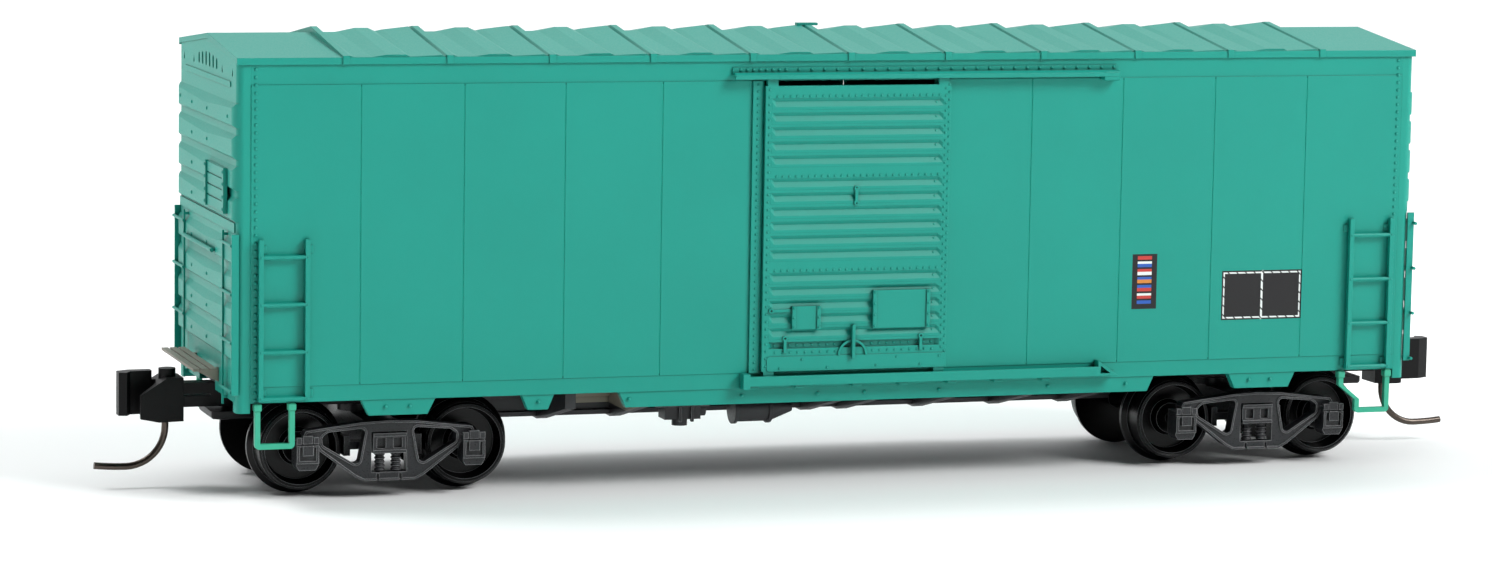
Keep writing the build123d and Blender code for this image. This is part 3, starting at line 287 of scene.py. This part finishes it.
finishes = {
    "body_paint": jadePaint, "step_plastic": stepPlastic, "platform_plastic": tanPlastic,
    "frame_plastic": blackPlastic, "truck_plastic": truckPlastic, "wheel_plastic": wheelPlastic,
    "coupler_plastic": couplerPlastic, "trip_wire": tripWire, "weight_steel": weightSteel,
}
ownFinish = {"side_near": markedJade, "side_far": markedJade, "roof": roofPaint, "underframe": scuffedPlastic,
             "door_near": doorPaint, "door_far": doorPaint, "end_a": endPaint, "end_b": endPaint}
slotOf = {row["node"]: row["material_slot"] for row in frame["record"]["subparts"]}
for name, piece in frame["nodes"].items():
    piece.data.materials.clear()
    piece.data.materials.append(ownFinish.get(name, finishes[slotOf[name]]))
print("materials on", len(frame["nodes"]), "nodes")


def makeMesh(name, verts, faces, material, smooth):
    mesh = bpy.data.meshes.new(name)
    mesh.from_pydata((np.asarray(verts) * mm).tolist(), [], faces)
    mesh.materials.append(material)
    mesh.polygons.foreach_set("use_smooth", [smooth] * len(mesh.polygons))
    mesh.update()
    piece = bpy.data.objects.new(name, mesh)
    bpy.context.scene.collection.objects.link(piece)
    return piece


# Shapes are pairs of points and faces, drawn for the near side or end A and turned half round for the other.
def addPiece(name, body, shapes, material, turned=False, smooth=False):
    verts = np.concatenate([points for points, faces in shapes])
    starts = np.cumsum([0] + [len(points) for points, faces in shapes]).tolist()
    faces = [[start + i for i in face] for start, shape in zip(starts, shapes) for face in shape[1]]
    piece = makeMesh(name, verts * (-1.0, -1.0, 1.0) if turned else verts, faces, material, smooth)
    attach(piece, body)
    return piece


# Quads between closed loops of points: loop r holds the points from r * around on. A closed tube also joins its
# last loop to its first.
def loopFaces(loops, around, closed=False):
    r, i = np.meshgrid(np.arange(loops if closed else loops - 1), np.arange(around), indexing="ij")
    nextR, nextI = (r + 1) % loops, (i + 1) % around
    corners = (r * around + i, r * around + nextI, nextR * around + nextI, nextR * around + i)
    return np.stack(corners, -1).reshape(-1, 4).tolist()


# The same with a flat face over the first and the last loop.
def cappedFaces(loops, around):
    first = list(range(around))[::-1]
    last = list(range((loops - 1) * around, loops * around))
    return loopFaces(loops, around) + [first, last]


def turnAngles(count):
    return np.arange(count) * 2 * math.pi / count


def gridPoints(x, y, z):
    return np.stack(np.broadcast_arrays(x, y, z), -1).reshape(-1, 3)


def spaced(low, high, pitch):
    return np.linspace(low, high, max(1, round((high - low) / pitch)) + 1)


# A rivet head is a cap: at turn a and rise t from foot to crown it lies at radius cos(t) and height sin(t), with
# its foot sunk a little into the face.
headShape = {"around": 10, "loops": 3, "sunk": 0.01}


def rivetHeads(points, out, radius, height):
    around, loops, sunk = headShape["around"], headShape["loops"], headShape["sunk"]
    out, up = np.array(out, float), np.array((0.0, 0.0, 1.0))
    a = turnAngles(around)[None, :, None]
    t = np.arange(loops)[:, None, None] / loops * math.pi / 2
    cap = radius * np.cos(t) * (np.cos(a) * up + np.sin(a) * np.cross(out, up)) + (height * np.sin(t) - sunk) * out
    cap = np.concatenate([cap.reshape(-1, 3), [(height - sunk) * out]])
    faces, last = loopFaces(loops, around), (loops - 1) * around
    faces += [[last + i, last + (i + 1) % around, loops * around] for i in range(around)]
    return [(cap + point + (0.0, 0.0, railTop), faces) for point in np.array(points)]


# Rivets of a side: a column at each end of the sheets, a row on the strip over the door track, which is closer
# at its left end, one column on the door post and some on the skirt tabs.
sideRivets = {
    "columnX": 38.33, "columnZ": (6.25, 26.6), "pitch": 0.48, "radius": 0.12, "height": 0.09,
    "sheetY": 8.88, "bandY": 8.83, "sheetZ": (7.06, 25.64),
    "stripX": (-4.35, 18.0), "stripPitch": 0.87, "closeX": (-7.35, -4.8), "closePitch": 0.43,
    "stripZ": 26.33, "stripY": 8.95,
    "postX": -6.2, "postY": 9.03, "postZ": (7.3, 25.4), "postPitch": 0.43, "postRadius": 0.08,
    "tabX": (-30.09, -28.55, -20.29, -14.36, -6.9, -1.81, 1.38, 6.46, 14.01, 19.46, 28.24, 29.76),
    "tabZ": 5.61, "tabY": 8.83,
}


def sideRivetShapes(look):
    low, high = look["sheetZ"]
    columns = [(x, -(look["sheetY"] if low < z < high else look["bandY"]), z)
               for x in (-look["columnX"], look["columnX"]) for z in spaced(*look["columnZ"], look["pitch"])]
    stripX = [*spaced(*look["stripX"], look["stripPitch"]), *spaced(*look["closeX"], look["closePitch"])]
    strip = [(x, -look["stripY"], look["stripZ"]) for x in stripX]
    tabs = [(x, -look["tabY"], look["tabZ"]) for x in look["tabX"]]
    post = [(look["postX"], -look["postY"], z) for z in spaced(*look["postZ"], look["postPitch"])]
    return (rivetHeads(columns + strip + tabs, (0, -1, 0), look["radius"], look["height"])
            + rivetHeads(post, (0, -1, 0), look["postRadius"], look["height"]))


for sideName, turned in sides:
    addPiece("rivets_side_" + sideName, "car", sideRivetShapes(sideRivets), jadePaint, turned, True)
print("side rivets")

# The door's corrugations stand in three groups: count, pitch and flat strip under each group, from the top down.
ribGroups = ((5, 0.91, 0.54), (6, 0.91, 0.54), (5, 0.884, 0.0))
ribEdges, edge = [], 24.54
for ribs, pitch, strip in ribGroups:
    ribEdges += [edge - i * pitch for i in range(ribs)]
    edge -= ribs * pitch + strip

# Rivets of a door: columns on its edges, rows on its flat strips and at its foot, one beside each corrugation,
# and those of the kick plate and of the boards' battens.
doorRivets = {
    "radius": 0.09, "height": 0.07,
    # x of each column and by how much its first rivet is higher
    "columns": ((-5.52, 0.0), (6.33, 0.0), (6.56, 0.23)), "columnZ": (7.5, 25.1), "pitch": 0.47, "front": 9.32,
    "rows": (24.68, 19.6, 13.6), "rowX": (-5.0, 5.9), "rowPitch": 0.43,
    # height and depth of the rows at the foot, which leave a gap for the latch
    "lowRows": ((8.36, 9.32), (8.8, 9.12)), "lowX": (-4.9, 5.7), "lowPitch": 0.5, "gapX": 0.3, "gapHalf": 1.1,
    "besideX": 5.72, "besideY": 9.22, "besideDrop": 0.33,
    "kick": ((-4.6, 7.35), (-3.1, 7.9), (-1.4, 7.35), (1.9, 7.4), (3.3, 7.9), (4.9, 7.4), (6.2, 7.9)), "kickY": 9.37,
    # x, foot, top and count of each batten
    "battens": ((-3.73, 10.0, 11.2, 3), (-2.06, 10.0, 11.2, 3), (1.71, 9.95, 12.1, 4), (5.34, 9.95, 12.1, 4)),
    "battenY": 9.56,
}


def doorRivetShapes(look):
    points = [(x, -look["front"], z + up) for x, up in look["columns"] for z in spaced(*look["columnZ"], look["pitch"])]
    points += [(x, -look["front"], z) for z in look["rows"] for x in spaced(*look["rowX"], look["rowPitch"])]
    points += [(x, -y, z) for z, y in look["lowRows"] for x in spaced(*look["lowX"], look["lowPitch"])
               if abs(x - look["gapX"]) > look["gapHalf"]]
    points += [(look["besideX"], -look["besideY"], edge - look["besideDrop"]) for edge in ribEdges]
    points += [(x, -look["kickY"], z) for x, z in look["kick"]]
    points += [(x, -look["battenY"], z) for x, low, high, count in look["battens"]
               for z in np.linspace(low, high, count)]
    return rivetHeads(points, (0, -1, 0), look["radius"], look["height"])


for sideName, turned in sides:
    addPiece("rivets_door_" + sideName, "door_" + sideName, doorRivetShapes(doorRivets), jadePaint,
             turned, True)
print("door rivets")

# The door's corrugations as they show: under each one's front edge a facet falls back to a shallow valley and
# a second facet rises to the face below; at both ends the valley runs out to the front.
doorFolds = {
    # depth behind the front and drop below the edge, round the profile; the second row is the valley
    "profile": ((0.0, 0.0), (0.14, 0.2), (0.0, 0.54), (0.0, 0.72), (0.19, 0.72), (0.19, 0.0)), "front": 9.325,
    # x and share of the valley's depth
    "columns": ((-5.36, 0.05), (-5.08, 1.0), (5.93, 1.0), (6.21, 0.05)),
}


def foldShape(look, edge):
    x, share = np.array(look["columns"]).T[:, :, None]
    behind, drop = np.array(look["profile"]).T
    valley = np.arange(len(behind)) == 1
    points = gridPoints(x, behind * np.where(valley, share, 1.0) - look["front"], edge + railTop - drop)
    return points, cappedFaces(len(x), len(behind))


for sideName, turned in sides:
    addPiece("door_folds_" + sideName, "door_" + sideName, [foldShape(doorFolds, edge) for edge in ribEdges],
             doorPaint, turned)
print("door folds")


# A pad is a plate with cut corners: an outline of half sizes a and b, carried up its height and drawn in at the
# top by a share of the corner cut. Drawn in by an inset, the corners move by a share of that inset.
padShares = {"top": 0.8, "corner": 0.4}


def padShape(centre, across, along, up, half, height, cut):
    def outline(inset):
        a, b, corner = half[0] - inset, half[1] - inset, cut + padShares["corner"] * inset
        cutA, cutB = half[0] - corner, half[1] - corner
        return [(a, cutB), (cutA, b), (-cutA, b), (-a, cutB), (-a, -cutB), (-cutA, -b), (cutA, -b), (a, -cutB)]

    flat = np.array([outline(0), outline(0), outline(padShares["top"] * cut)])
    raised = np.array((0, height - cut, height))[:, None, None] * np.array(up)
    foot = np.array(centre) + (0.0, 0.0, railTop)
    return (foot + flat @ np.array((across, along)) + raised).reshape(-1, 3), cappedFaces(*flat.shape[:2])


# Plates that look out of the near side, at every x and z of the look; back is the depth they start from.
def sidePlates(look):
    return [padShape((x, -look["back"], z), (1, 0, 0), (0, 0, 1), (0, -1, 0), look["half"], look["height"], look["cut"])
            for x in look["x"] for z in look["z"]]


# Side ladders: a lug beside each stile near its top and foot, and a bolt on each stile at every rung.
sideLugs = {"x": (-37.78, -34.87, 34.87, 37.78), "z": (15.55, 6.65), "half": (0.15, 0.26), "back": 8.86,
            "height": 0.1, "cut": 0.04}
sideBolts = {"x": (-38.05, -35.15, 35.15, 38.05), "z": (6.35, 9.24, 12.17, 15.10), "stileY": 9.34,
             "radius": 0.085, "height": 0.05}
# Stirrups: a sleeve at the top of each leg.
stirrupSleeves = {"x": (-38.19, -36.03, 34.83, 38.19), "z": (5.8,), "half": (0.25, 0.22), "back": 8.62,
                  "height": 0.46, "cut": 0.05}

bolts = rivetHeads([(x, -sideBolts["stileY"], z) for x in sideBolts["x"] for z in sideBolts["z"]], (0, -1, 0),
                   sideBolts["radius"], sideBolts["height"])
for sideName, turned in sides:
    addPiece("side_ladder_lugs_" + sideName, "car", sidePlates(sideLugs) + bolts, jadePaint, turned)
    addPiece("stirrup_sleeves_" + sideName, "car", sidePlates(stirrupSleeves), stepPlastic, turned)
print("ladder lugs")

# The stop block that closes the upper door rail at its right end.
railStop = {"x": (17.665,), "z": (25.825,), "half": (0.565, 0.315), "back": 8.8, "height": 0.8, "cut": 0.06}
for sideName, turned in sides:
    addPiece("rail_stop_" + sideName, "car", sidePlates(railStop), jadePaint, turned)
print("rail stops")


# A slab is a pad given by its corners, whose drawn-in face looks up, or down.
def slabShape(x0, x1, y0, y1, z0, z1, cut, down=False):
    halfX, halfY, middle = (x1 - x0) / 2, (y1 - y0) / 2, ((x0 + x1) / 2, (y0 + y1) / 2)
    if down:
        return padShape((*middle, z1), (0, 1, 0), (1, 0, 0), (0, 0, -1), (halfY, halfX), z1 - z0, cut)
    return padShape((*middle, z0), (1, 0, 0), (0, 1, 0), (0, 0, 1), (halfX, halfY), z1 - z0, cut)


# A boss is a turned knob that hangs down: the radius at each of its drops, carried round its axis.
def bossShape(centre, profile, around):
    x, y, z = centre
    a = turnAngles(around)
    radius, drop = np.array(profile).T[:, :, None]
    points = gridPoints(x + radius * np.cos(a), y - radius * np.sin(a), z + railTop - drop)
    return points, cappedFaces(len(profile), around)


# Draft boxes: a mouth set back under the end sill, a lid plate that stands out below it and the lid's screw.
draftBox = {
    "lidX": 39.6, "roofX": 39.3, "mouthX": 38.2, "backX": 34.4, "half": 2.05, "wall": 0.45, "wallCut": 0.08,
    "lidZ": (4.1, 4.58), "lidCut": 0.12, "wallZ": (4.5, 6.4), "roofZ": (6.37, 6.6), "overZ": (6.5, 6.8),
    "roofCut": 0.05,
    # radius and drop round the screw head, with its sunk middle
    "screw": ((0.62, 0.0), (0.62, 0.2), (0.54, 0.28), (0.31, 0.28), (0.279, 0.24), (0.05, 0.24)),
    "screwPlace": (-38.55, 0.0, 4.12), "screwAround": 28,
}


def draftShapes(look):
    back, mouth, half, wall = -look["backX"], -look["mouthX"], look["half"], look["wall"]
    walls = [(back - wall, back, -half, half), (mouth, back, -half, wall - half), (mouth, back, half - wall, half)]
    return [slabShape(-look["lidX"], back, -half, half, *look["lidZ"], look["lidCut"], down=True),
            slabShape(-look["roofX"], back, -half, half, *look["roofZ"], look["roofCut"]),
            slabShape(-look["roofX"], mouth, -half, half, *look["overZ"], look["roofCut"]),
            *[slabShape(*wallBox, *look["wallZ"], look["wallCut"]) for wallBox in walls],
            bossShape(look["screwPlace"], look["screw"], look["screwAround"])]


for endName, turned in ends:
    piece = addPiece("draft_box_shell_" + endName, "car", draftShapes(draftBox), pocketPlastic, turned)
    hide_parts("draft_box_" + endName)
print("draft boxes")

# The control valve's flange plate and the two straps that hold it.
valvePlate = {"x": (-9.8,), "z": (4.68,), "half": (1.8, 0.18), "back": 5.3, "height": 0.42, "cut": 0.06}
valveStraps = {"x": (-10.0, -9.2), "z": (4.175,), "half": (0.11, 0.625), "back": 5.6, "height": 0.22, "cut": 0.04}
addPiece("valve_straps", "car", sidePlates(valvePlate) + sidePlates(valveStraps), truckPlastic)
print("valve straps")

# Rivets of an end: two on every rib, one near each end of the top rib, and those of the tack board's battens.
endRivets = {
    "face": 39.70, "batten": 39.96, "radius": 0.13, "height": 0.09, "up": 0.42,
    # top edge and pitch of each group of four ribs
    "ribs": ((23.17, 1.923), (14.75, 1.983)), "ribCount": 4, "across": (3.9, -0.8),
    "corner": ((-7.0, 23.6), (7.6, 23.7)), "tackY": (-1.4, -6.8), "tackZ": (17.85, 18.6, 19.4, 20.15),
}


def endRivetShapes(look):
    points = [(-look["face"], y, top - i * pitch + look["up"])
              for top, pitch in look["ribs"] for i in range(look["ribCount"]) for y in look["across"]]
    points += [(-look["face"], y, z) for y, z in look["corner"]]
    points += [(-look["batten"], y, z) for y in look["tackY"] for z in look["tackZ"]]
    return rivetHeads(points, (-1, 0, 0), look["radius"], look["height"])


for endName, turned in ends:
    addPiece("rivets_end_" + endName, "car", endRivetShapes(endRivets), jadePaint, turned, True)
print("end rivets")

# The polished bead round each wheel's face: a ring whose section is a small round, turned about the axle.
wheelBead = {"radius": 2.41, "tube": 0.05, "face": 5.95, "around": 96, "across": 8, "axleZ": 2.7,
             "truckX": 29.5, "axleX": 5.31}


def beadRing(look, x, y):
    a = turnAngles(look["around"])
    b = turnAngles(look["across"])[:, None]
    r = look["radius"] + look["tube"] * np.cos(b)
    points = gridPoints(x + r * np.cos(a), y + look["tube"] * np.sin(b), look["axleZ"] + railTop + r * np.sin(a))
    return points, loopFaces(look["across"], look["around"], closed=True)


for end, sign in (("a", -1), ("b", 1)):
    for axle, out in (("outer", 1), ("inner", -1)):
        x = sign * (wheelBead["truckX"] + out * wheelBead["axleX"])
        rings = [beadRing(wheelBead, x, y) for y in (-wheelBead["face"], wheelBead["face"])]
        addPiece("wheel_beads_" + end + "_" + axle, "wheels_" + end + "_" + axle, rings, wheelPlastic,
                 smooth=True)
print("wheel beads")

studio = {"floorHalf": 2500.0, "paper": "#FAFBFB", "paperRough": 0.8, "cloudMm": 60.0, "darkest": 0.985}


def paperMaterial():
    material, tree = newTree("pale_paper_sheet")
    noise = addNode(tree, "TexNoise", {"Scale": 1 / studio["cloudMm"], "Detail": 2.0}, {"Vector": placeInMm(tree)})
    tone = addNode(tree, "MapRange", {"To Min": studio["darkest"], "To Max": 1.0}, {"Value": noise.outputs["Fac"]})
    shader = addNode(tree, "BsdfPrincipled", {"Roughness": studio["paperRough"]},
                     {"Base Color": tinted(tree, toLinear(studio["paper"]), tone)})
    addNode(tree, "OutputMaterial", links={"Surface": shader})
    return material


def addFloor():
    half = studio["floorHalf"]
    corners = [(-half, -half, 0), (half, -half, 0), (half, half, 0), (-half, half, 0)]
    floor = makeMesh("studio_floor", corners, [(0, 1, 2, 3)], paperMaterial(), False)
    paper = bpy.data.collections.new("paper_only")
    paper.objects.link(floor)
    return paper


# places in metres
def addLight(name, place, target, size, power):
    data = bpy.data.lights.new(name, "AREA")
    data.shape = "RECTANGLE"
    data.size, data.size_y = size
    data.energy = power
    lamp = bpy.data.objects.new(name, data)
    bpy.context.scene.collection.objects.link(lamp)
    lamp.location = place
    lamp.rotation_euler = (Vector(target) - Vector(place)).to_track_quat("-Z", "Y").to_euler()
    return lamp


def addWorld():
    world = bpy.data.worlds.new("studio_room")
    world.use_nodes = True
    tree = world.node_tree
    tree.nodes.clear()
    coords = addNode(tree, "TexCoord")
    axes = addNode(tree, "SeparateXYZ", links={0: coords.outputs["Generated"]})
    # the room is bright behind the car and dim behind the camera, and dims again overhead
    level = addNode(tree, "MapRange", {"From Min": -0.3, "From Max": 0.3, "To Min": 0.06, "To Max": 1.05},
                    {"Value": axes.outputs["Y"]})
    high = addNode(tree, "MapRange", {"From Min": 0.1, "From Max": 0.7, "To Min": 1.0, "To Max": 0.25},
                   {"Value": axes.outputs["Z"]})
    strength = addNode(tree, "Math", {"operation": "MULTIPLY"}, {0: level, 1: high})
    back = addNode(tree, "Background", {"Color": (0.97, 0.985, 1.0, 1.0)}, {"Strength": strength})
    addNode(tree, "OutputWorld", links={"Surface": back})
    bpy.context.scene.world = world


# Found by fitting the photo: place over the rail top, yaw from +Y, pitch and roll in degrees, focal length and
# shift of the picture's centre in pixels.
cameraFit = {"place": (-98.901, -289.169, 48.733), "yaw": -18.665, "pitch": -7.152, "roll": 1.001,
             "focal": 4694.93, "width": 1492, "centre": (37.678, 7.513), "sensor": 36, "clip": (0.01, 20)}


def addCamera(fit):
    yaw, pitch, roll = (math.radians(fit[k]) for k in ("yaw", "pitch", "roll"))
    forward = Vector((-math.sin(yaw) * math.cos(pitch), math.cos(yaw) * math.cos(pitch), math.sin(pitch)))
    right = forward.cross(Vector((0, 0, 1))).normalized()
    up = right.cross(forward)
    side = math.cos(roll) * right + math.sin(roll) * up
    top = -math.sin(roll) * right + math.cos(roll) * up
    data = bpy.data.cameras.new("camera")
    data.sensor_width = fit["sensor"]
    data.lens = fit["focal"] * fit["sensor"] / fit["width"]
    data.shift_x = -fit["centre"][0] / fit["width"]
    data.shift_y = fit["centre"][1] / fit["width"]
    data.clip_start, data.clip_end = fit["clip"]
    camera = bpy.data.objects.new("camera", data)
    bpy.context.scene.collection.objects.link(camera)
    turn = Matrix((side, top, -forward)).transposed().to_4x4()
    x, y, z = fit["place"]
    camera.matrix_world = Matrix.Translation((x * mm, y * mm, (z + railTop) * mm)) @ turn
    bpy.context.scene.camera = camera


paperOnly = addFloor()
addWorld()
addLight("key_right", (0.42, -0.40, 0.44), (0, 0, 0.015), (0.3, 0.3), 4.8)
addLight("left_back", (-0.38, 0.22, 0.55), (-0.04, 0, 0.015), (0.2, 0.2), 2.1)
addLight("back_wash", (0.35, 1.1, 0.8), (0.35, 1.1, 0), (2.0, 1.4), 7.0)
# flags keep this one off the car: it only whitens the paper sheet
floorWash = addLight("floor_wash", (0.1, 0.3, 1.4), (0.1, 0.3, 0), (2.4, 2.4), 11.0)
floorWash.light_linking.receiver_collection = paperOnly
addCamera(cameraFit)
scene = bpy.context.scene
scene.view_settings.view_transform = "Standard"
scene.view_settings.look = "None"
print("stage and camera")
